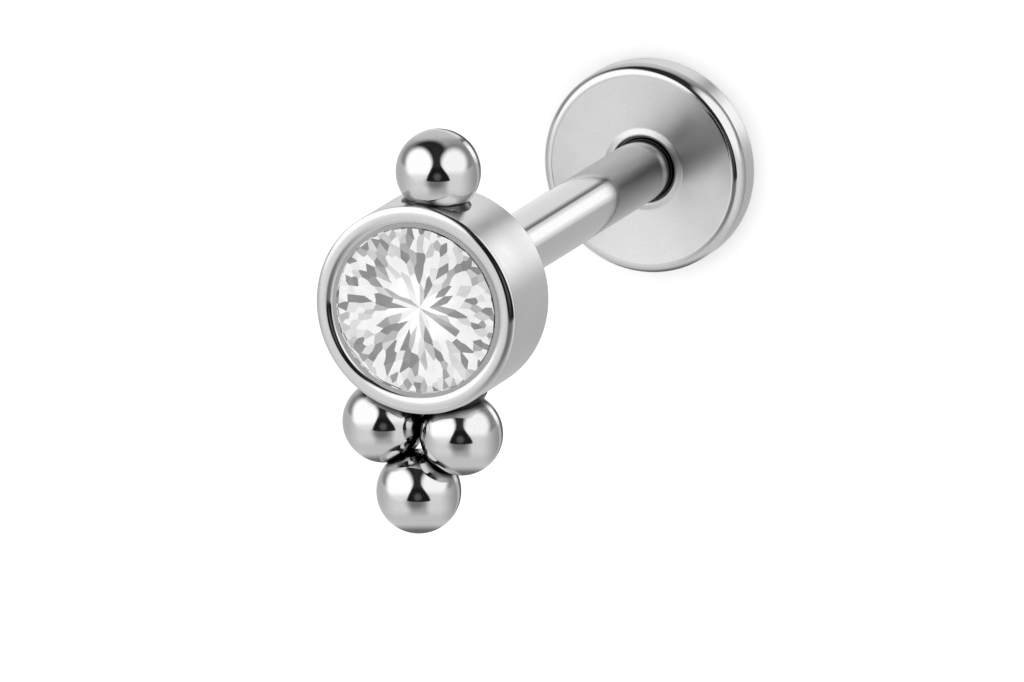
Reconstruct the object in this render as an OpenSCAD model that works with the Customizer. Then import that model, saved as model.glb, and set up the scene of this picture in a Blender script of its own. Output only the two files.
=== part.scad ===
// Flat-back labret stud: a round brilliant in a beaded bezel, on a plain barrel with a dished disc.
// It stands on the flat back of its disc. The origin is the middle of that face, +Z runs up the
// barrel to the stone, and +Y points to the single bead. All sizes are in millimetres.

/* [Barrel] */
// Diameter of the barrel that goes through the piercing
post_d = 1.2; // [1.1:0.05:1.6]
// Wearing length, from the rim of the disc to the back of the bezel
wear_length = 10; // [6:0.5:16]

/* [Disc] */
// Diameter of the disc
disc_d = 4.15; // [3.6:0.05:5]
// Thickness of the disc at its rim
disc_t = 0.7; // [0.5:0.05:1]
// Radius of the rolled rim
rim_r = 0.13; // [0.08:0.01:0.16]
// How far the rolled rim stands above the dished face
rim_rise = 0.045; // [0.02:0.005:0.06]
// Radius of curvature of the dished face
dish_r = 15.8; // [14:0.1:30]

/* [Bezel] */
// Outer diameter of the bezel
bezel_d = 4; // [3.8:0.1:5]
// Depth of the bezel from its lip to its back
bezel_depth = 1.8; // [1.7:0.05:2.2]
// Width of the lip, from the side wall to the mouth over the stone
lip_w = 0.43; // [0.4:0.01:0.5]
// Radius of the lip's outer corner
lip_outer_r = 0.15; // [0.1:0.01:0.18]
// Radius of the lip's inner slope
lip_inner_r = 0.3; // [0.29:0.01:0.34]

/* [Stone] */
// Diameter of the stone's girdle
stone_d = 3.28; // [3:0.02:3.3]
// Depth of the girdle's upper edge below the top of the lip
girdle_drop = 0.26; // [0.24:0.01:0.32]
// Width of the table as a share of the girdle
table_share = 0.56; // [0.5:0.01:0.64]
// Crown angle in degrees
crown_angle = 24; // [20:1:28]
// Pavilion angle in degrees
pavilion_angle = 40; // [38:0.5:41]

/* [Beads] */
// Diameter of each bead
bead_d = 1.6; // [1.2:0.05:1.6]
// Depth of the middle of the beads below the top of the lip
bead_drop = 0.8; // [0.75:0.05:0.95]
// How far each bead next to the bezel is sunk into its side wall
bead_sink = 0.22; // [0.15:0.01:0.3]
// Distance between the middles of the paired beads
pair_pitch = 1.56; // [1.4:0.01:1.58]
// Distance from the line of the paired beads to the lowest bead
low_pitch = 1.25; // [1.1:0.01:1.35]

/* [Hidden] */
$fn = 96;

// Clearance between pieces that are pressed or seated together
seat_gap = 0.02;
edge_r = 0.05;
eps = 0.01;

// Disc
disc_r = disc_d / 2;
post_r = post_d / 2;
rim_mid_r = disc_r - rim_r;
face_rim_z = disc_t - rim_rise;
dish_floor_z = face_rim_z - rim_mid_r * rim_mid_r / (2 * dish_r);
socket_floor_z = 0.2;
groove_w = 0.09;
groove_floor_z = dish_floor_z - 0.2;
collar_w = 0.12;
collar_rise = 0.09;
collar_in_r = post_r + groove_w;
collar_mid_r = collar_in_r + collar_w / 2;
collar_mid_z = dish_floor_z + collar_rise - collar_w / 2;

// Bezel and the plain pin on its back
bezel_r = bezel_d / 2;
back_z = disc_t + wear_length;
lip_z = back_z + bezel_depth;
lip_mid_r = bezel_r - lip_outer_r;
mouth_r = bezel_r - lip_w;
pin_r = 0.4;
pin_length = 2.6;
pin_chamfer = 0.1;
pin_end_z = back_z - pin_length;
bore_r = pin_r + seat_gap;
bore_floor_z = pin_end_z - 0.2;

// Round brilliant
stone_r = stone_d / 2;
girdle_t = 0.05;
girdle_z = lip_z - girdle_drop;
girdle_low_z = girdle_z - girdle_t;
table_r = stone_r * table_share;
table_z = girdle_z + (stone_r - table_r) * tan(crown_angle);
culet_z = girdle_low_z - stone_r * tan(pavilion_angle);
half_step = 360 / 16;
star_r = table_r + (stone_r - table_r) * 0.5;
star_z = table_z - (star_r * cos(half_step) - table_r) * tan(crown_angle);
lower_r = stone_r * 0.22;
lower_z = culet_z + lower_r * cos(half_step) * tan(pavilion_angle);
seat_r = stone_r + seat_gap;
seat_drop = 0.06;

// Beads
bead_r = bead_d / 2;
bead_z = lip_z - bead_drop;
bead_reach = bezel_r + bead_r - bead_sink;
pair_x = pair_pitch / 2;
pair_y = -sqrt(bead_reach * bead_reach - pair_x * pair_x);
low_y = pair_y - low_pitch;
pair_turn = atan(pair_x / -pair_y);
solder_wall_r = 0.62;
solder_bead_r = 0.46;
solder_in = 0.1;
solder_out = 0.24;

// A dished disc with a rolled rim and a raised collar round a blind socket for the barrel
module back_disc() {
    color("silver")
    rotate_extrude()
    difference() {
        union() {
            intersection() {
                disc_outline();
                dish_outline();
            }
            translate([rim_mid_r, disc_t - rim_r]) circle(r = rim_r);
            translate([collar_in_r, socket_floor_z])
                square([collar_w, collar_mid_z - socket_floor_z]);
            translate([collar_mid_r, collar_mid_z]) circle(r = collar_w / 2);
        }
        translate([0, socket_floor_z]) square([post_r + seat_gap, disc_t]);
        translate([0, groove_floor_z]) square([collar_in_r, disc_t]);
    }
}

// Half section of the disc with its lower edge rounded and its top square
module disc_outline() {
    square([disc_r - edge_r, disc_t - rim_r]);
    translate([0, edge_r]) square([disc_r, disc_t - rim_r - edge_r]);
    translate([disc_r - edge_r, edge_r]) circle(r = edge_r);
    square([rim_mid_r, disc_t]);
}

// What lies below the dished face
module dish_outline() {
    difference() {
        square([disc_d, disc_t]);
        translate([0, dish_floor_z + dish_r]) circle(r = dish_r, $fn = 720);
    }
}

// The barrel, with a blind bore in its upper end for the pin of the head
module post() {
    color("silver")
    difference() {
        translate([0, 0, socket_floor_z + seat_gap])
            cylinder(r = post_r, h = back_z - socket_floor_z - 2 * seat_gap);
        translate([0, 0, bore_floor_z]) cylinder(r = bore_r, h = back_z);
    }
}

// Bezel cup, four beads, their solder and the plain pin, soldered into one piece
module setting_head() {
    color("silver")
    difference() {
        union() {
            rotate_extrude() bezel_outline();
            for (turn = [0, 180 - pair_turn, 180 + pair_turn])
                rotate([0, 0, turn]) soldered_bead();
            translate([0, low_y, bead_z]) sphere(r = bead_r);
            translate([0, 0, pin_end_z]) pin();
        }
        rotate_extrude() seat_outline();
    }
}

// Half section of the bezel before its seat is cut: straight side, rounded lip and edges
module bezel_outline() {
    translate([0, back_z]) square([bezel_r - edge_r, edge_r + eps]);
    translate([bezel_r - edge_r, back_z + edge_r]) circle(r = edge_r);
    translate([0, back_z + edge_r]) square([bezel_r, bezel_depth - edge_r - lip_outer_r]);
    translate([lip_mid_r, lip_z - lip_outer_r]) circle(r = lip_outer_r);
    intersection() {
        translate([lip_mid_r, lip_z - lip_inner_r]) circle(r = lip_inner_r);
        translate([mouth_r, back_z]) square([lip_mid_r - mouth_r, bezel_depth]);
    }
}

// Half section of the seat: open mouth, girdle ledge and a cone under the pavilion
module seat_outline() {
    lip_under = seat_gap + (stone_r - mouth_r) * tan(crown_angle);
    translate([0, girdle_z]) square([mouth_r, bezel_depth]);
    polygon([
        [0, culet_z - seat_drop],
        [seat_r, girdle_low_z - seat_drop],
        [seat_r, girdle_z + seat_gap],
        [mouth_r, girdle_z + lip_under],
        [0, girdle_z + lip_under]
    ]);
}

// One bead at the side wall with the solder cone that joins it, set towards +Y
module soldered_bead() {
    translate([0, bead_reach, bead_z]) sphere(r = bead_r);
    translate([0, bezel_r - solder_in, bead_z]) rotate([-90, 0, 0])
        cylinder(r1 = solder_wall_r, r2 = solder_bead_r, h = solder_in + solder_out);
}

// The plain pin that goes into the barrel
module pin() {
    cylinder(r1 = pin_r - pin_chamfer, r2 = pin_r, h = pin_chamfer);
    translate([0, 0, pin_chamfer]) cylinder(r = pin_r, h = pin_length - pin_chamfer + eps);
}

// A point at the given radius, height and turn
function at(r, z, turn) = [r * cos(turn), r * sin(turn), z];

// Round brilliant with a table, a 32 facet crown, a girdle and a 24 facet pavilion
module stone() {
    table = [for (i = [0:7]) at(table_r, table_z, 2 * i * half_step)];
    star = [for (i = [0:7]) at(star_r, star_z, (2 * i + 1) * half_step)];
    upper = [for (i = [0:15]) at(stone_r, girdle_z, i * half_step)];
    under = [for (i = [0:15]) at(stone_r, girdle_low_z, i * half_step)];
    lower = [for (i = [0:7]) at(lower_r, lower_z, (2 * i + 1) * half_step)];
    star_at = 8;
    upper_at = 16;
    under_at = 32;
    lower_at = 48;
    culet_at = 56;
    table_face = [[for (i = [7:-1:0]) i]];
    star_faces = [for (i = [0:7]) [i, (i + 1) % 8, star_at + i]];
    kites = [for (i = [0:7]) [i, star_at + i, upper_at + 2 * i, star_at + (i + 7) % 8]];
    upper_even = [for (i = [0:7]) [star_at + i, upper_at + 2 * i + 1, upper_at + 2 * i]];
    upper_odd = [for (i = [0:7]) [star_at + i, upper_at + (2 * i + 2) % 16, upper_at + 2 * i + 1]];
    girdle = [for (i = [0:15])
        [upper_at + i, upper_at + (i + 1) % 16, under_at + (i + 1) % 16, under_at + i]];
    lower_even = [for (i = [0:7]) [lower_at + i, under_at + 2 * i, under_at + 2 * i + 1]];
    lower_odd = [for (i = [0:7]) [lower_at + i, under_at + 2 * i + 1, under_at + (2 * i + 2) % 16]];
    mains = [for (i = [0:7]) [culet_at, lower_at + (i + 7) % 8, under_at + 2 * i, lower_at + i]];
    color("white")
    polyhedron(
        points = concat(table, star, upper, under, lower, [[0, 0, culet_z]]),
        faces = concat(table_face, star_faces, kites, upper_even, upper_odd, girdle,
            lower_even, lower_odd, mains)
    );
}

back_disc();
post();
setting_head();
stone();
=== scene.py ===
"""A flat-back labret stud standing on its disc, seen from the front of its stone."""
import math

import bpy
from mathutils import Matrix, Vector


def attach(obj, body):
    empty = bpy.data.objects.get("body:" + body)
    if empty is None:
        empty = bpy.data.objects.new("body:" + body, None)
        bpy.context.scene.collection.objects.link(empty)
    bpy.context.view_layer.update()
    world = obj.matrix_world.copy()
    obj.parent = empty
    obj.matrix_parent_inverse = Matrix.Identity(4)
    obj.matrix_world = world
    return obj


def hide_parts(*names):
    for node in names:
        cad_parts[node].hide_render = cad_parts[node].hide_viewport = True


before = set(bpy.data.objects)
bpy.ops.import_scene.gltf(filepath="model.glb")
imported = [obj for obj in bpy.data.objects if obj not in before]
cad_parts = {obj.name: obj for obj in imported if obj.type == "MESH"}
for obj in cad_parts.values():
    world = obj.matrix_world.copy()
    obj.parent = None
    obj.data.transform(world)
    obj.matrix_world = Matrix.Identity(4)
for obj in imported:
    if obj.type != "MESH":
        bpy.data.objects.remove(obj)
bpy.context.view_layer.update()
MM = 0.001
UP = Vector((0, 0, 1))

# Camera: its lean from the barrel's axis, its turn round it, and the barrel's slope in the picture
VIEW_TILT = math.radians(25.7)
VIEW_TURN = math.radians(38.85)
BARREL_SLOPE = math.radians(32.4)
PICTURE_SIZE = (1024, 682)
FRONT_PIXEL = (414.5, 311.2)
PIXELS_PER_MM = 53.5
LENS = 600.0
SENSOR = 36.0
CLIP_RANGE = 10

# Disc, in millimetres like all sizes. The roll of its rim has two radii, and its flats a ring each
DISC_R = 2.075
DISC_T = 0.7
DISC_MID_R = 1.0
SIDE_MID_Z = 0.2
EDGE_R = 0.05
ROLL_TOP_R = 0.15
ROLL_SIDE_R = 0.283
ROLL_TURN = 40
ROLL_LEAN = math.radians(6.7)
DISH_R = 15.8
SOCKET_FLOOR = 0.2
GROOVE_DEPTH = 0.04
COLLAR_GAP = 0.045
COLLAR_W = 0.10
COLLAR_RISE = 0.06
COLLAR_TURN = 55
COLLAR_FOOT_R = 0.08

# Barrel, and the pin of the head that goes into it
POST_R = 0.6
POST_CHAMFER = 0.02
WEAR_LENGTH = 10.0
SEAT_GAP = 0.02
PIN_R = 0.4
PIN_LENGTH = 2.6
PIN_CHAMFER = 0.1
BORE_R = 0.42
BORE_SPARE = 0.2
BACK_Z = DISC_T + WEAR_LENGTH

# Bezel. Each corner of the lip has a radius, its first and last direction in degrees, and a count
BEZEL_R = 2.0
BEZEL_DEPTH = 1.8
LIP_Z = BACK_Z + BEZEL_DEPTH
LIP_CORNERS = ((0.03, 0, 50, 8), (0.21, 50, 87, 20), (0.67, 87, 93, 8), (0.18, 93, 134, 20))
MOUTH_R = 1.60
SEAT_ANGLE = math.radians(24)
SEAT_DROP = 0.06
SEAT_FLOOR = 0.054

# Stone. Each ring of its pavilion has a radius and a count of facets
STONE_R = 1.64
GIRDLE_Z = LIP_Z - 0.10
GIRDLE_T = 0.05
BLANK_DEPTH = 0.5
CROWN_COUNT = 24
CROWN_HEIGHT = 0.05
TABLE_R = 1.57
FACET_RINGS = (
    (0.28, 14), (0.54, 23), (0.78, 31), (0.99, 38), (1.17, 44), (1.33, 49), (1.47, 54), (1.58, 58))
UNEVEN_RADIUS = 0.03
UNEVEN_TURN = 0.30

# The pavilion's bowl: its slope in the middle, and how the slope grows with the radius and its cube
APEX_SLOPE = 0.128
EVEN_CURVE = 0.012
EDGE_CURVE = 0.0062

# Beads, first the single one, then the pair and the lowest
BEAD_R = 0.8
PAIR_R = 0.787
BEAD_Z = LIP_Z - 0.8
BEAD_SINK = 0.22
TOP_SHIFT = 0.05
PAIR_X = 0.78
LOW_PITCH = 1.25
BEAD_REACH = BEZEL_R + BEAD_R - BEAD_SINK
PAIR_Y = -math.sqrt(BEAD_REACH ** 2 - PAIR_X ** 2)
PAIR_TURN = math.atan2(PAIR_X, -PAIR_Y)
BEADS = (
    (Vector((0, BEAD_REACH - TOP_SHIFT, BEAD_Z)), BEAD_R),
    (Vector((PAIR_X, PAIR_Y, BEAD_Z)), PAIR_R),
    (Vector((-PAIR_X, PAIR_Y, BEAD_Z)), PAIR_R),
    (Vector((0, PAIR_Y - LOW_PITCH, BEAD_Z)), BEAD_R),
)

# Solder foot of a bead: its radii, and its distances from the barrel's axis
SOLDER_FOOT_R = 0.66
SOLDER_NECK_R = 0.52
SOLDER_FLARE = 0.14
SOLDER_START = 1.86
SOLDER_FLARE_START = 1.92
SOLDER_FLARE_LENGTH = 0.28
SOLDER_END = 2.20

# Radius of full painted shade and radius where the painted shade ends, round the soldered joints
PAIR_JOINT_SHADE = (0.17, 0.43)
LOW_JOINT_SHADE = (0.29, 0.47)
WALL_JOINT_SHADE = (0.58, 0.72)
JOINT_SHADE_TONE = 0.10

# Meshes: steps round each shape, steps along its outline, and creases in degrees
DISC_STEPS = 192
BARREL_STEPS = 128
HEAD_STEPS = 256
SOLDER_STEPS = 64
STONE_STEPS = 96
BEAD_LEVELS = 6
CORNER_STEPS = 8
COLLAR_STEPS = 20
ROLL_STEPS = 24
DISH_STEPS = 48
BARREL_ROWS = 10
SIDE_ROWS = 6
CREASE = 40
HEAD_CREASE = 32

# Distance of a holding edge from a rim, and limits for picking faces by their place and direction
HOLD = 0.01
TOUCH = 0.001
SKIN = 0.003
CLEAR = 0.004
UPRIGHT = 0.1
FACES_UP = 0.05
MERGE_GAP = MM * 0.0001
CUT_GAP = MM * 0.00002

# Room. A lamp has a middle, a size, a softness, its tones, and from where to where they change
FLOOR_LIGHT = 1.65
FLOOR_SIZE = 0.7
LAMPS = (
    ((-0.45, 0.16), (0.305, 0.38), 0.2, (2.0, 1.45), (0.0, -0.16)),
    ((0.37, 0.17), (0.295, 0.35), 0.25, (1.8, 1.3), (0.05, -0.12)),
)

# Metals: the part of a noise that is spread out, and the finish of the disc's dished face
NOISE_LOW = 0.3
NOISE_HIGH = 0.7
FACE_GLOSS_SPREAD = 0.52
FACE_LEAN = (-0.524, -0.328, 0.786)

# Light in the stone
STONE_IOR = 1.5
STONE_PATCHES = 70.0
STONE_LEVEL = 1.20
STONE_CONTRAST = 0.92
STONE_RANGE = (0.42, 1.6)


def clear_selection():
    bpy.ops.object.select_all(action="DESELECT")


def pick(piece):
    """Make this piece the only selected one."""
    clear_selection()
    piece.select_set(True)
    bpy.context.view_layer.objects.active = piece


def apply_place():
    """Leave the piece at the origin, with its place in its mesh."""
    bpy.ops.object.transform_apply(location=True, rotation=True, scale=True)


def camera_axes():
    """Right, up and back of the camera as unit vectors."""
    back = Vector((
        math.sin(VIEW_TILT) * math.cos(VIEW_TURN),
        math.sin(VIEW_TILT) * math.sin(VIEW_TURN),
        math.cos(VIEW_TILT),
    ))
    along = (-UP + UP.dot(back) * back).normalized()
    across = back.cross(along)
    right = math.cos(BARREL_SLOPE) * along - math.sin(BARREL_SLOPE) * across
    up = math.sin(BARREL_SLOPE) * along + math.cos(BARREL_SLOPE) * across
    return right, up, back


def view_direction(x, y, z):
    """Unit vector from its share to the right, up and back of the camera."""
    right, up, back = camera_axes()
    return (x * right + y * up + z * back).normalized()


def make_camera():
    right, up, back = camera_axes()
    pixel = MM / PIXELS_PER_MM
    aim = Vector((0, 0, LIP_Z * MM))
    aim += right * (PICTURE_SIZE[0] / 2 - FRONT_PIXEL[0]) * pixel
    aim -= up * (PICTURE_SIZE[1] / 2 - FRONT_PIXEL[1]) * pixel
    distance = LENS / SENSOR * PICTURE_SIZE[0] * pixel
    data = bpy.data.cameras.new("camera")
    data.lens = LENS
    data.sensor_width = SENSOR
    data.clip_start = distance / CLIP_RANGE
    data.clip_end = distance * CLIP_RANGE
    camera = bpy.data.objects.new("camera", data)
    bpy.context.scene.collection.objects.link(camera)
    turn = Matrix((right, up, back)).transposed()
    camera.matrix_world = Matrix.Translation(aim + back * distance) @ turn.to_4x4()
    bpy.context.scene.camera = camera


# Shared node work
class Board:
    """A node tree with short ways to add the nodes that the room and the metals use."""

    def __init__(self, tree):
        self.tree = tree

    def feed(self, socket, value):
        if isinstance(value, (int, float, tuple)):
            socket.default_value = value
        else:
            self.tree.links.new(value, socket)

    def math(self, operation, first, second=0.0, third=0.0):
        node = self.tree.nodes.new("ShaderNodeMath")
        node.operation = operation
        for socket, value in zip(node.inputs, (first, second, third)):
            self.feed(socket, value)
        return node.outputs[0]

    def times(self, first, second):
        return self.math("MULTIPLY", first, second)

    def dot(self, vector, axis):
        node = self.tree.nodes.new("ShaderNodeVectorMath")
        node.operation = "DOT_PRODUCT"
        self.tree.links.new(vector, node.inputs[0])
        node.inputs[1].default_value = axis
        return node.outputs["Value"]

    def step(self, value, low, high):
        """0 at low and 1 at high, with a soft change between them."""
        rising = low < high
        node = self.tree.nodes.new("ShaderNodeMapRange")
        node.interpolation_type = "SMOOTHSTEP"
        self.tree.links.new(value, node.inputs["Value"])
        node.inputs["From Min"].default_value = min(low, high)
        node.inputs["From Max"].default_value = max(low, high)
        node.inputs["To Min"].default_value = 0.0 if rising else 1.0
        node.inputs["To Max"].default_value = 1.0 if rising else 0.0
        return node.outputs[0]

    def both(self, *masks):
        made = masks[0]
        for mask in masks[1:]:
            made = self.times(made, mask)
        return made

    def oval(self, u, v, middle, size, soft):
        """1 inside a soft-edged oval."""
        off_u = self.math("DIVIDE", self.math("SUBTRACT", u, middle[0]), size[0])
        off_v = self.math("DIVIDE", self.math("SUBTRACT", v, middle[1]), size[1])
        square = self.math("ADD", self.times(off_u, off_u), self.times(off_v, off_v))
        return self.step(self.math("SQRT", square), 1 + soft, 1 - soft)

    def mix(self, under, over, mask):
        """under where mask is 0 and over where it is 1."""
        gap = self.math("SUBTRACT", over, under)
        return self.math("MULTIPLY_ADD", gap, mask, under)

    def place(self):
        """Place on the object, in metres."""
        return self.tree.nodes.new("ShaderNodeTexCoord").outputs["Object"]

    def grey(self, tone):
        """Grey colour of this tone."""
        colour = self.tree.nodes.new("ShaderNodeCombineColor")
        for channel in colour.inputs:
            self.tree.links.new(tone, channel)
        return colour.outputs[0]


def room_light(board, where):
    """Brightness of the room by direction, laid out as a bead in front of the camera shows it.

    A direction shows in the bead at u to the right and v up, where its outline is a circle of radius 1.
    """
    right, up, back = camera_axes()
    facing = board.math("MULTIPLY_ADD", board.dot(where, back), 2.0, 2.0)
    reach = board.math("SQRT", board.math("MAXIMUM", facing, 0.0001))
    u = board.math("DIVIDE", board.dot(where, right), reach)
    v = board.math("DIVIDE", board.dot(where, up), reach)

    # Walls and the bright top
    level = board.mix(0.80, 0.50, board.step(u, -0.6, 0.9))
    level = board.mix(level, 1.0, board.step(v, 0.68, 0.84))

    # Grey arcs round the lamps and the dark ceiling between them
    wings = board.math(
        "MAXIMUM",
        board.oval(u, v, (-0.44, 0.24), (0.42, 0.45), 0.12),
        board.oval(u, v, (0.38, 0.20), (0.40, 0.45), 0.14),
    )
    level = board.mix(level, 0.42, wings)
    level = board.mix(level, 0.035, board.oval(u, v, (-0.20, 0.49), (0.38, 0.23), 0.24))

    # Bench below the horizon, which rises to the sides
    square = board.times(u, u)
    rise = board.times(square, board.math("MULTIPLY_ADD", square, 0.2, 0.28))
    height = board.math("SUBTRACT", v, rise)
    level = board.mix(level, bench_light(board, u, v), board.step(height, -0.07, -0.18))

    # Two soft lamps, each less bright at its foot
    for middle, size, soft, tones, span in LAMPS:
        lamp = board.mix(*tones, board.step(v, *span))
        level = board.mix(level, lamp, board.oval(u, v, middle, size, soft))

    # Dark gap between the lamps, wide at its foot
    waist = board.mix(0.085, 0.27, board.step(v, 0.2, -0.24))
    shift = board.times(board.step(v, -0.2, 0.2), 0.035)
    off = board.math("SUBTRACT", board.math("ABSOLUTE", board.math("ADD", u, shift)), waist)
    above = board.step(height, -0.265, -0.235)
    gap = board.both(board.step(off, 0.028, -0.028), above, board.step(v, 0.6, 0.5))
    level = board.mix(level, 0.045, gap)
    level = board.mix(level, 0.02, board.both(gap, board.step(v, 0.12, 0.04)))
    level = board.mix(level, 0.16, board.oval(u, v, (-0.02, -0.14), (0.08, 0.08), 0.6))
    return light_behind(board, u, v, level)


def bench_light(board, u, v):
    """The bench, with the soft shade of what stands on it."""
    bench = board.mix(1.25, 1.02, board.step(v, -0.40, -0.65))
    bench = board.mix(bench, 0.80, board.step(u, -0.5, -0.95))
    bench = board.mix(bench, 0.50, board.step(u, 0.45, 0.95))
    bench = board.mix(bench, 0.25, board.step(v, -0.76, -0.94))
    side = board.math("ABSOLUTE", u)
    shade = board.both(board.step(side, 0.3, 0.12), board.step(v, -0.64, -0.48))
    bench = board.mix(bench, 0.72, shade)
    return board.mix(bench, 0.30, board.oval(u, v, (-0.06, -0.27), (0.21, 0.15), 0.6))


def light_behind(board, u, v, level):
    """Add what lies behind the stud, which its straight sides reflect.

    Along and across are measured with the barrel in the picture, and out is the share of the way
    along to the bead's outline.
    """
    cosine, sine = math.cos(BARREL_SLOPE), math.sin(BARREL_SLOPE)
    along = board.math("ADD", board.times(u, cosine), board.times(v, sine))
    across = board.math("SUBTRACT", board.times(v, cosine), board.times(u, sine))
    rest = board.math("MULTIPLY_ADD", board.times(across, across), -1.0, 1.0)
    out = board.math("DIVIDE", along, board.math("SQRT", board.math("MAXIMUM", rest, 0.01)))
    band = board.both(board.step(across, -0.26, -0.10), board.step(across, 0.22, 0.08))
    line = board.both(board.step(across, 0.23, 0.30), board.step(across, 0.46, 0.31))
    behind = board.mix(0.79, 1.28, board.step(across, -0.35, -0.24))
    behind = board.mix(behind, 1.90, band)
    behind = board.mix(behind, 0.28, line)
    behind = board.mix(behind, 0.18, board.step(out, 0.93, 0.96))
    far = board.both(board.step(out, 0.85, 0.885), board.step(along, -0.05, 0.3))
    return board.mix(level, behind, far)


def stone_light(board, where):
    """A patchwork of light, seen only through the stone, that gives each facet its own tone."""
    x = board.times(board.dot(where, (1, 0, 0)), STONE_PATCHES)
    y = board.times(board.dot(where, (0, 1, 0)), STONE_PATCHES)

    def wave(share_x, share_y, start):
        run = board.math("MULTIPLY_ADD", y, share_y, start)
        return board.math("SINE", board.math("MULTIPLY_ADD", x, share_x, run))

    square = board.times(wave(1.0, 0.0, 1.0), wave(0.0, 0.83, 2.0))
    slant = board.times(wave(0.71, 0.71, 0.5), wave(0.93, -0.93, 1.7))
    sum_of_both = board.math("ADD", square, slant)
    level = board.math("MULTIPLY_ADD", sum_of_both, STONE_CONTRAST, STONE_LEVEL)
    darkest, brightest = STONE_RANGE
    return board.math("MINIMUM", board.math("MAXIMUM", level, darkest), brightest)


def light_room():
    world = bpy.data.worlds.new("room")
    bpy.context.scene.world = world
    world.use_nodes = True
    tree = world.node_tree
    tree.nodes.clear()
    board = Board(tree)
    where = tree.nodes.new("ShaderNodeTexCoord").outputs["Generated"]
    ray = tree.nodes.new("ShaderNodeLightPath").outputs
    level = room_light(board, where)
    through = board.math("GREATER_THAN", ray["Transmission Depth"], 0.5)
    level = board.mix(level, stone_light(board, where), through)
    level = board.mix(level, FLOOR_LIGHT, ray["Is Diffuse Ray"])
    level = board.mix(level, 1.0, ray["Is Camera Ray"])
    sky = tree.nodes.new("ShaderNodeBackground")
    tree.links.new(level, sky.inputs["Strength"])
    out = tree.nodes.new("ShaderNodeOutputWorld")
    tree.links.new(sky.outputs[0], out.inputs["Surface"])
    world.cycles.sampling_method = "NONE"


# Metals and stone
def shader_board(name):
    material = bpy.data.materials.new(name)
    material.use_nodes = True
    tree = material.node_tree
    return material, Board(tree), tree.nodes["Principled BSDF"]


def grain(board, stretch, detail):
    """Fine noise on the object, with its own count of waves per metre along each axis."""
    tree = board.tree
    mapping = tree.nodes.new("ShaderNodeMapping")
    mapping.inputs["Scale"].default_value = stretch
    tree.links.new(board.place(), mapping.inputs["Vector"])
    noise = tree.nodes.new("ShaderNodeTexNoise")
    noise.inputs["Scale"].default_value = 1.0
    noise.inputs["Detail"].default_value = detail
    tree.links.new(mapping.outputs[0], noise.inputs["Vector"])
    return noise.outputs["Fac"]


def spread(board, value, low, high):
    """The middle of a noise spread from low to high."""
    node = board.tree.nodes.new("ShaderNodeMapRange")
    board.tree.links.new(value, node.inputs["Value"])
    node.inputs["From Min"].default_value = NOISE_LOW
    node.inputs["From Max"].default_value = NOISE_HIGH
    node.inputs["To Min"].default_value = low
    node.inputs["To Max"].default_value = high
    return node.outputs[0]


def steel(
        name, tone, roughness, stretch, relief,
        tone_change=0.02, rough_change=0.3, depth_shade=1.0, depth_shade_from=2):
    """Steel whose tone, gloss and relief follow one fine grain.

    Once the light has met this many surfaces, the tone is multiplied by a painted shade, which stands
    in for the dark of reflections in a crevice.
    """
    material, board, shader = shader_board(name)
    tree = board.tree
    fine = grain(board, stretch, 3.0)
    cloud = grain(board, (900.0, 900.0, 900.0), 2.0)
    tint = spread(board, fine, tone - tone_change, tone + tone_change)
    # Painted shade: a darker tone where the surface is reached only after several bounces
    depth = tree.nodes.new("ShaderNodeLightPath").outputs["Ray Depth"]
    is_depth_shade = board.math("GREATER_THAN", depth, depth_shade_from - 0.5)
    tint = board.times(tint, board.mix(1.0, depth_shade, is_depth_shade))
    tree.links.new(board.grey(tint), shader.inputs["Base Color"])
    rough = spread(board, cloud, roughness * (1 - rough_change), roughness * (1 + rough_change))
    tree.links.new(rough, shader.inputs["Roughness"])
    bump = tree.nodes.new("ShaderNodeBump")
    bump.name = "relief"
    bump.inputs["Strength"].default_value = 1.0
    bump.inputs["Distance"].default_value = relief * MM
    tree.links.new(fine, bump.inputs["Height"])
    tree.links.new(bump.outputs[0], shader.inputs["Normal"])
    shader.inputs["Metallic"].default_value = 1.0
    return material


def paint_joint_shade(material, joints):
    """Paint shade on the polish close to the soldered joints, in the crevices between the beads and the
    bezel, fading out from one radius to the next.
    """
    tree = material.node_tree
    board = Board(tree)
    base = tree.nodes["Principled BSDF"].inputs["Base Color"]
    colour = base.links[0].from_node
    tint = colour.inputs[0].links[0].from_socket
    place = board.place()
    for middle, near, far in joints:
        away = tree.nodes.new("ShaderNodeVectorMath")
        away.operation = "DISTANCE"
        tree.links.new(place, away.inputs[0])
        away.inputs[1].default_value = middle * MM
        unshaded = board.step(away.outputs["Value"], near * MM, far * MM)
        tint = board.times(tint, board.mix(JOINT_SHADE_TONE, 1.0, unshaded))
    for channel in colour.inputs:
        tree.links.new(tint, channel)


def bead_joint_shades():
    """Middle, radius of full painted shade and radius where the painted shade ends, for each soldered
    joint.
    """
    top, right, left, low = (place for place, radius in BEADS)
    made = [
        ((right + left) / 2, *PAIR_JOINT_SHADE),
        ((right + low) / 2, *LOW_JOINT_SHADE),
        ((left + low) / 2, *LOW_JOINT_SHADE),
    ]
    for place in (top, right, left):
        at_wall = place * (BEZEL_R / BEAD_REACH)
        made.append((Vector((at_wall.x, at_wall.y, BEAD_Z)), *WALL_JOINT_SHADE))
    return made


def lean_normals(material, towards):
    """Turn every normal by the turn that takes +Z to this direction."""
    tree = material.node_tree
    shape = tree.nodes.new("ShaderNodeNewGeometry")
    turn = tree.nodes.new("ShaderNodeVectorRotate")
    turn.rotation_type = "AXIS_ANGLE"
    turn.inputs["Axis"].default_value = UP.cross(towards).normalized()
    turn.inputs["Angle"].default_value = UP.angle(towards)
    tree.links.new(shape.outputs["Normal"], turn.inputs["Vector"])
    tree.links.new(turn.outputs[0], tree.nodes["relief"].inputs["Normal"])


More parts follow.
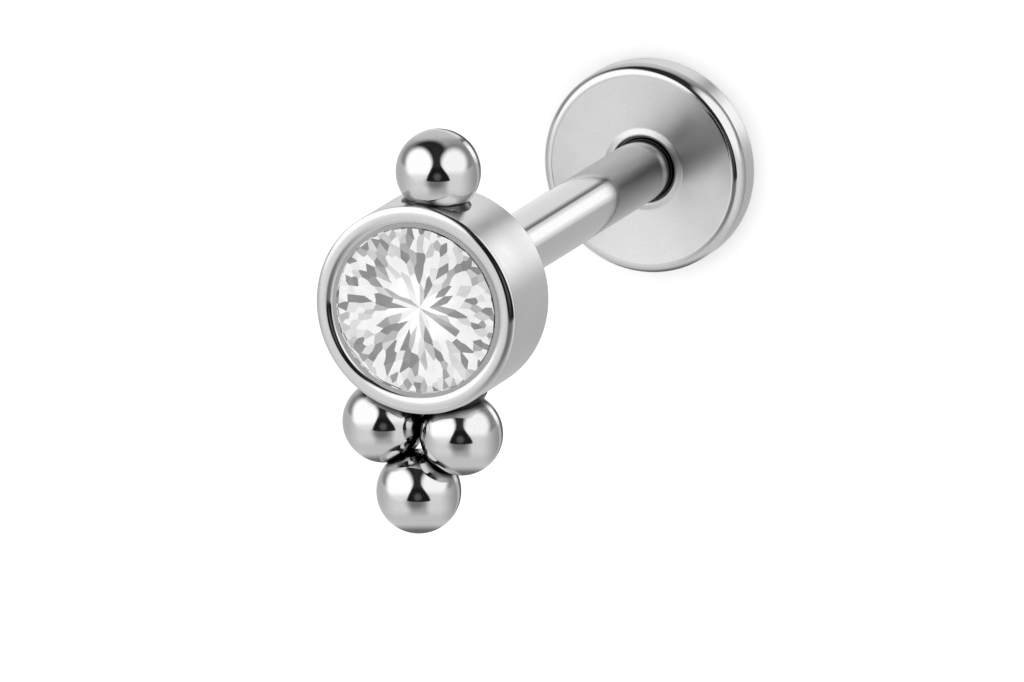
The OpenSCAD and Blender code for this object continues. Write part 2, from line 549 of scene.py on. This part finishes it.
def turned_finish(material, amount):
    """Spread the gloss outwards from the axis, as the fine rings of a lathe do."""
    tree = material.node_tree
    shader = tree.nodes["Principled BSDF"]
    flat = tree.nodes.new("ShaderNodeVectorMath")
    flat.operation = "MULTIPLY"
    flat.inputs[1].default_value = (1, 1, 0)
    outwards = tree.nodes.new("ShaderNodeVectorMath")
    outwards.operation = "NORMALIZE"
    tree.links.new(Board(tree).place(), flat.inputs[0])
    tree.links.new(flat.outputs[0], outwards.inputs[0])
    tree.links.new(outwards.outputs[0], shader.inputs["Tangent"])
    shader.inputs["Anisotropic"].default_value = amount


def clear_stone():
    material, board, shader = shader_board("clear_stone")
    shader.inputs["Base Color"].default_value = (0.985, 0.985, 0.99, 1)
    shader.inputs["Transmission Weight"].default_value = 1.0
    shader.inputs["IOR"].default_value = STONE_IOR
    cloud = grain(board, (1500.0, 1500.0, 1500.0), 2.0)
    board.tree.links.new(spread(board, cloud, 0.0, 0.006), shader.inputs["Roughness"])
    return material


def backed_stone():
    """Pavilion facets, mirrored from inside and a little darker towards the girdle."""
    material, board, shader = shader_board("stone_back")
    place = board.place()
    x = board.dot(place, (1 / MM, 0, 0))
    y = board.dot(place, (0, 1 / MM, 0))
    radius = board.math("SQRT", board.math("MULTIPLY_ADD", x, x, board.times(y, y)))
    cloud = grain(board, (2500.0, 2500.0, 2500.0), 2.0)
    tint = board.mix(0.95, 0.75, board.step(radius, 0.2, 0.9))
    tint = board.times(tint, spread(board, cloud, 0.93, 1.0))
    board.tree.links.new(board.grey(tint), shader.inputs["Base Color"])
    shader.inputs["Metallic"].default_value = 1.0
    shader.inputs["Roughness"].default_value = 0.0
    return material


# Turned shapes
def arc(middle, radius, start, end, count):
    """Points of a round corner in a half section, in degrees from the outward direction."""
    made = []
    for i in range(count + 1):
        angle = math.radians(start + (end - start) * i / count)
        made.append((middle[0] + radius * math.cos(angle), middle[1] + radius * math.sin(angle)))
    return made


def turn_shape(name, outline, steps):
    """Turn a half section round the Z axis into one closed piece. A point is radius and height."""
    clear_selection()
    radius, height = outline[0]
    bpy.ops.mesh.primitive_plane_add(size=MM, location=(radius * MM, 0, height * MM))
    piece = bpy.context.object
    piece.name = name
    bpy.ops.object.mode_set(mode="EDIT")
    bpy.ops.mesh.select_all(action="SELECT")
    bpy.ops.mesh.merge(type="CENTER")
    for next_radius, next_height in outline[1:]:
        move = ((next_radius - radius) * MM, 0, (next_height - height) * MM)
        bpy.ops.mesh.extrude_region_move(TRANSFORM_OT_translate={"value": move})
        radius, height = next_radius, next_height
    bpy.ops.mesh.select_all(action="SELECT")
    bpy.ops.mesh.spin(steps=steps, angle=math.tau, center=(0, 0, 0), axis=(0, 0, 1))
    bpy.ops.mesh.select_all(action="SELECT")
    bpy.ops.mesh.remove_doubles(threshold=MERGE_GAP)
    bpy.ops.mesh.normals_make_consistent(inside=False)
    bpy.ops.object.mode_set(mode="OBJECT")
    apply_place()
    return piece


def finish(piece, node, crease):
    pick(piece)
    if crease:
        bpy.ops.object.shade_smooth_by_angle(angle=math.radians(crease))
    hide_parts(node)
    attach(piece, "root")


def dress(piece, *materials):
    """Give the piece these materials, the first one all over."""
    piece.data.materials.clear()
    for material in materials:
        piece.data.materials.append(material)
    for face in piece.data.polygons:
        face.material_index = 0


def assign(piece, material, chosen):
    """Give this material to the faces that chosen(middle, radius, normal) picks, in millimetres."""
    index = piece.data.materials.find(material.name)
    for face in piece.data.polygons:
        middle = face.center / MM
        if chosen(middle, math.hypot(middle.x, middle.y), face.normal):
            face.material_index = index


def make_disc():
    turning = math.radians(90 - ROLL_TURN)
    roll_step = ROLL_SIDE_R - ROLL_TOP_R
    side_middle_r = DISC_R - ROLL_SIDE_R
    roll = (side_middle_r + roll_step * math.cos(turning), DISC_T - ROLL_TOP_R)
    roll_low = roll[1] - roll_step * math.sin(turning)
    inner = roll[0] - ROLL_TOP_R * math.sin(ROLL_LEAN)
    dish_floor = roll[1] + ROLL_TOP_R * math.cos(ROLL_LEAN) - inner ** 2 / (2 * DISH_R)
    collar_in = POST_R + COLLAR_GAP
    collar_out = collar_in + COLLAR_W
    collar_z = dish_floor + COLLAR_RISE - COLLAR_W / 2
    groove_floor = dish_floor - GROOVE_DEPTH
    socket_r = POST_R + SEAT_GAP

    def dish_z(radius):
        return dish_floor + radius ** 2 / (2 * DISH_R)

    dish_start = inner - HOLD / 2
    dish_end = collar_out + COLLAR_FOOT_R
    foot = (dish_end, dish_z(dish_end) + COLLAR_FOOT_R)
    outline = [(0, 0), (DISC_MID_R, 0), (DISC_R - EDGE_R - 2 * HOLD, 0)]
    outline += arc((DISC_R - EDGE_R, EDGE_R), EDGE_R, -90, 0, CORNER_STEPS)
    outline += [(DISC_R, EDGE_R + HOLD), (DISC_R, SIDE_MID_Z), (DISC_R, roll_low - HOLD)]
    outline += arc((side_middle_r, roll_low), ROLL_SIDE_R, 0, 90 - ROLL_TURN, ROLL_STEPS)
    outline += arc(roll, ROLL_TOP_R, 90 - ROLL_TURN, 90 + math.degrees(ROLL_LEAN), ROLL_STEPS)[1:]
    dish = [dish_start - (dish_start - dish_end) * i / DISH_STEPS for i in range(DISH_STEPS + 1)]
    outline += [(radius, dish_z(radius)) for radius in dish]
    outline += arc(foot, COLLAR_FOOT_R, 270, 180 + COLLAR_TURN, CORNER_STEPS)[1:]
    collar_top = (collar_in + COLLAR_W / 2, collar_z)
    outline += arc(collar_top, COLLAR_W / 2, COLLAR_TURN, 180, COLLAR_STEPS)
    outline += [(collar_in, groove_floor), (socket_r, groove_floor)]
    outline += [(socket_r, SOCKET_FLOOR), (0, SOCKET_FLOOR)]
    piece = turn_shape("disc", outline, DISC_STEPS)

    def on_side(middle, radius, normal):
        return middle.z < roll_low + HOLD and radius > DISC_R - EDGE_R

    def on_roll(middle, radius, normal):
        return middle.z > roll_low + HOLD and radius > inner - CLEAR

    def in_socket(middle, radius, normal):
        return HOLD < middle.z < dish_floor - HOLD and radius <= collar_in + TOUCH

    dress(piece, SATIN_FACE, SATIN_SIDE, POLISHED, RECESS_SHADE)
    assign(piece, SATIN_SIDE, on_side)
    assign(piece, POLISHED, on_roll)
    # The socket and the groove round the barrel get painted shade
    assign(piece, RECESS_SHADE, in_socket)
    finish(piece, "back_disc", CREASE)


def make_barrel():
    low, high = SOCKET_FLOOR + SEAT_GAP, BACK_Z - SEAT_GAP
    bore_floor = BACK_Z - PIN_LENGTH - BORE_SPARE
    outline = [(0, low), (POST_R - POST_CHAMFER, low), (POST_R, low + POST_CHAMFER)]
    outline += [(POST_R, low + (high - low) * i / BARREL_ROWS) for i in range(1, BARREL_ROWS)]
    outline += [(POST_R, high - POST_CHAMFER), (POST_R - POST_CHAMFER, high), (BORE_R, high)]
    outline += [(BORE_R, bore_floor), (0, bore_floor)]
    piece = turn_shape("barrel", outline, BARREL_STEPS)
    dress(piece, BARREL)
    finish(piece, "post", CREASE)


def solder_on(piece, other):
    """Join another closed piece to this one as one skin."""
    pick(piece)
    joint = piece.modifiers.new("solder", "BOOLEAN")
    joint.operation = "UNION"
    joint.solver = "EXACT"
    joint.object = other
    bpy.ops.object.modifier_apply(modifier="solder")
    bpy.data.objects.remove(other)


def make_bead(place, radius):
    clear_selection()
    bpy.ops.mesh.primitive_ico_sphere_add(
        subdivisions=BEAD_LEVELS, radius=radius * MM, location=place * MM)
    bead = bpy.context.object
    apply_place()
    return bead


def make_solder(turn):
    """A hollow-sided foot of solder between the bezel's side and a bead, at this turn from +Y."""
    outline = [(0, SOLDER_START), (SOLDER_FOOT_R, SOLDER_START)]
    for i in range(CORNER_STEPS + 1):
        share = i / CORNER_STEPS
        radius = SOLDER_NECK_R + SOLDER_FLARE * (1 - share) ** 2
        outline.append((radius, SOLDER_FLARE_START + SOLDER_FLARE_LENGTH * share))
    outline.append((0, SOLDER_END))
    foot = turn_shape("solder", outline, SOLDER_STEPS)
    foot.rotation_euler = (-math.pi / 2, 0, turn)
    foot.location = (0, 0, BEAD_Z * MM)
    pick(foot)
    apply_place()
    return foot


def lip_outline():
    """Half section of the lip, from the side wall over the crown to the ledge round the stone."""
    made = [(0, 0)]
    for radius, start, end, count in LIP_CORNERS:
        last = made[-1]
        angle = math.radians(start)
        middle = (last[0] - radius * math.cos(angle), last[1] - radius * math.sin(angle))
        made += arc(middle, radius, start, end, count)[1:]
    top = max(height for _, height in made)
    made = [(BEZEL_R + radius, LIP_Z - top + height) for radius, height in made]
    made.append((MOUTH_R, made[-1][1]))
    return made


def make_head():
    lip = lip_outline()
    ledge_r, ledge_z = lip[-2]
    seat_r = STONE_R + SEAT_GAP
    seat_low = GIRDLE_Z - GIRDLE_T - SEAT_DROP
    lip_under = GIRDLE_Z + SEAT_GAP + (STONE_R - MOUTH_R) * math.tan(SEAT_ANGLE)
    pin_low = BACK_Z - PIN_LENGTH
    outline = [(0, pin_low), (PIN_R - PIN_CHAMFER, pin_low)]
    outline += [(PIN_R, pin_low + PIN_CHAMFER), (PIN_R, BACK_Z)]
    outline += [(2 * POST_R, BACK_Z), (BEZEL_R - EDGE_R - 2 * HOLD, BACK_Z)]
    outline += arc((BEZEL_R - EDGE_R, BACK_Z + EDGE_R), EDGE_R, -90, 0, CORNER_STEPS)
    side_low, side_high = BACK_Z + EDGE_R + HOLD, lip[0][1] - HOLD
    row = (side_high - side_low) / SIDE_ROWS
    outline += [(BEZEL_R, side_low + row * i) for i in range(SIDE_ROWS + 1)]
    outline += lip
    outline += [(MOUTH_R, lip_under), (seat_r, GIRDLE_Z + SEAT_GAP)]
    outline += [(seat_r, seat_low), (0, BACK_Z + SEAT_FLOOR)]
    head = turn_shape("head", outline, HEAD_STEPS)
    for turn in (0, math.pi + PAIR_TURN, math.pi - PAIR_TURN):
        solder_on(head, make_solder(turn))
    for place, radius in BEADS:
        solder_on(head, make_bead(place, radius))

    def on_side(middle, radius, normal):
        between = BACK_Z + 2 * HOLD < middle.z < side_high
        return between and abs(radius - BEZEL_R) < SKIN and abs(normal.z) < UPRIGHT

    def on_back(middle, radius, normal):
        return abs(middle.z - BACK_Z) < 2 * HOLD and radius > PIN_R

    def in_seat(middle, radius, normal):
        return BACK_Z + HOLD < middle.z < GIRDLE_Z and radius < seat_r + TOUCH

    def on_ledge(middle, radius, normal):
        return MOUTH_R - TOUCH < radius < ledge_r and middle.z > ledge_z - TOUCH

    def on_solder(middle, radius, normal):
        off_beads = min((middle - place).length - bead_r for place, bead_r in BEADS)
        return off_beads > CLEAR and radius > BEZEL_R + CLEAR

    dress(head, POLISHED, SATIN_SIDE, RECESS_SHADE, SOLDER, LEDGE)
    assign(head, SATIN_SIDE, on_side)
    assign(head, SATIN_SIDE, on_back)
    # The cup under the stone gets painted shade
    assign(head, RECESS_SHADE, in_seat)
    assign(head, LEDGE, on_ledge)
    assign(head, SOLDER, on_solder)
    finish(head, "setting_head", HEAD_CREASE)


# Stone
def cut_facet(lean, turn, radius, height):
    """Cut the stone flat along the plane with this lean and turn that passes through a point."""
    lean, turn = math.radians(lean), math.radians(turn)
    normal = (math.sin(lean) * math.cos(turn), math.sin(lean) * math.sin(turn), math.cos(lean))
    point = (radius * math.cos(turn) * MM, radius * math.sin(turn) * MM, height * MM)
    bpy.ops.mesh.select_all(action="SELECT")
    bpy.ops.mesh.bisect(
        plane_co=point, plane_no=normal, use_fill=True, clear_outer=True, threshold=CUT_GAP)


def pavilion_facets():
    """Lean, turn, radius and height of each pavilion facet, ring by ring and a little uneven."""
    made = []
    for ring, (ring_radius, count) in enumerate(FACET_RINGS):
        for i in range(count):
            number = len(made) + 1
            radius = ring_radius + UNEVEN_RADIUS * math.sin(7.1 * number)
            turn = 360 / count * (i + ring / 2 + UNEVEN_TURN * math.sin(3.7 * number))
            slope = APEX_SLOPE + EVEN_CURVE * radius + EDGE_CURVE * radius ** 3
            depth = APEX_SLOPE * (STONE_R - radius)
            depth += EVEN_CURVE * (STONE_R ** 2 - radius ** 2) / 2
            depth += EDGE_CURVE * (STONE_R ** 4 - radius ** 4) / 4
            lean = 180 - math.degrees(math.atan(slope))
            made.append((lean, turn, radius, GIRDLE_Z - GIRDLE_T - depth))
    return made


def make_stone():
    low, high = GIRDLE_Z - BLANK_DEPTH, GIRDLE_Z + CROWN_HEIGHT
    clear_selection()
    bpy.ops.mesh.primitive_cylinder_add(
        vertices=STONE_STEPS, radius=STONE_R * MM, depth=(high - low) * MM,
        location=(0, 0, (high + low) / 2 * MM))
    stone = bpy.context.object
    stone.name = "brilliant"
    apply_place()
    bpy.ops.object.mode_set(mode="EDIT")
    lean = math.degrees(math.atan(CROWN_HEIGHT / (STONE_R - TABLE_R)))
    for i in range(CROWN_COUNT):
        cut_facet(lean, 360 / CROWN_COUNT * i, STONE_R, GIRDLE_Z)
    for facet in pavilion_facets():
        cut_facet(*facet)
    bpy.ops.object.mode_set(mode="OBJECT")
    back = backed_stone()
    dress(stone, clear_stone(), back)
    assign(stone, back, lambda middle, radius, normal: normal.z < FACES_UP)
    finish(stone, "stone", 0)


def make_floor():
    clear_selection()
    bpy.ops.mesh.primitive_plane_add(size=FLOOR_SIZE)
    floor = bpy.context.object
    floor.name = "floor"
    material, _, shader = shader_board("pale_floor")
    shader.inputs["Base Color"].default_value = (0.93, 0.93, 0.93, 1)
    shader.inputs["Roughness"].default_value = 0.6
    shader.inputs["Specular IOR Level"].default_value = 0.0
    floor.data.materials.append(material)
    floor.visible_glossy = False


# Several metals below paint shade into their tone where they show only in reflections
POLISHED = steel(
    "polished_steel", tone=0.62, roughness=0.055, stretch=(26000.0, 26000.0, 26000.0),
    relief=0.00002, depth_shade=0.25)
SOLDER = steel(
    "solder", tone=0.09, roughness=0.28, stretch=(30000.0, 30000.0, 30000.0),
    relief=0.0004, depth_shade=0.5)
LEDGE = steel(
    "ledge_steel", tone=0.40, roughness=0.30, stretch=(30000.0, 30000.0, 30000.0),
    relief=0.0002)
SATIN_SIDE = steel(
    "satin_side", tone=0.72, roughness=0.29, stretch=(9000.0, 9000.0, 52000.0),
    relief=0.0001, rough_change=0.12)
SATIN_FACE = steel(
    "satin_face", tone=0.69, roughness=0.375, stretch=(42000.0, 42000.0, 42000.0),
    relief=0.0006, tone_change=0.04, depth_shade=0.8, depth_shade_from=1)
BARREL = steel(
    "barrel_steel", tone=0.62, roughness=0.09, stretch=(30000.0, 30000.0, 9000.0),
    relief=0.0001, depth_shade=0.3, depth_shade_from=1)
# Painted shade in recesses: a dark steel for the disc's socket and groove and the cup under the stone
RECESS_SHADE = steel(
    "painted_recess_shade", tone=0.16, roughness=0.45, stretch=(30000.0, 30000.0, 30000.0),
    relief=0.0005)
# Painted shade in the crevices round the soldered joints of the beads
paint_joint_shade(POLISHED, bead_joint_shades())
turned_finish(SATIN_FACE, FACE_GLOSS_SPREAD)
lean_normals(SATIN_FACE, view_direction(*FACE_LEAN))

make_camera()
light_room()
make_floor()
make_disc()
make_barrel()
make_head()
make_stone()

bpy.context.scene.view_settings.view_transform = "Standard"
cycles = bpy.context.scene.cycles
cycles.max_bounces = 32
cycles.glossy_bounces = 24
cycles.transmission_bounces = 24
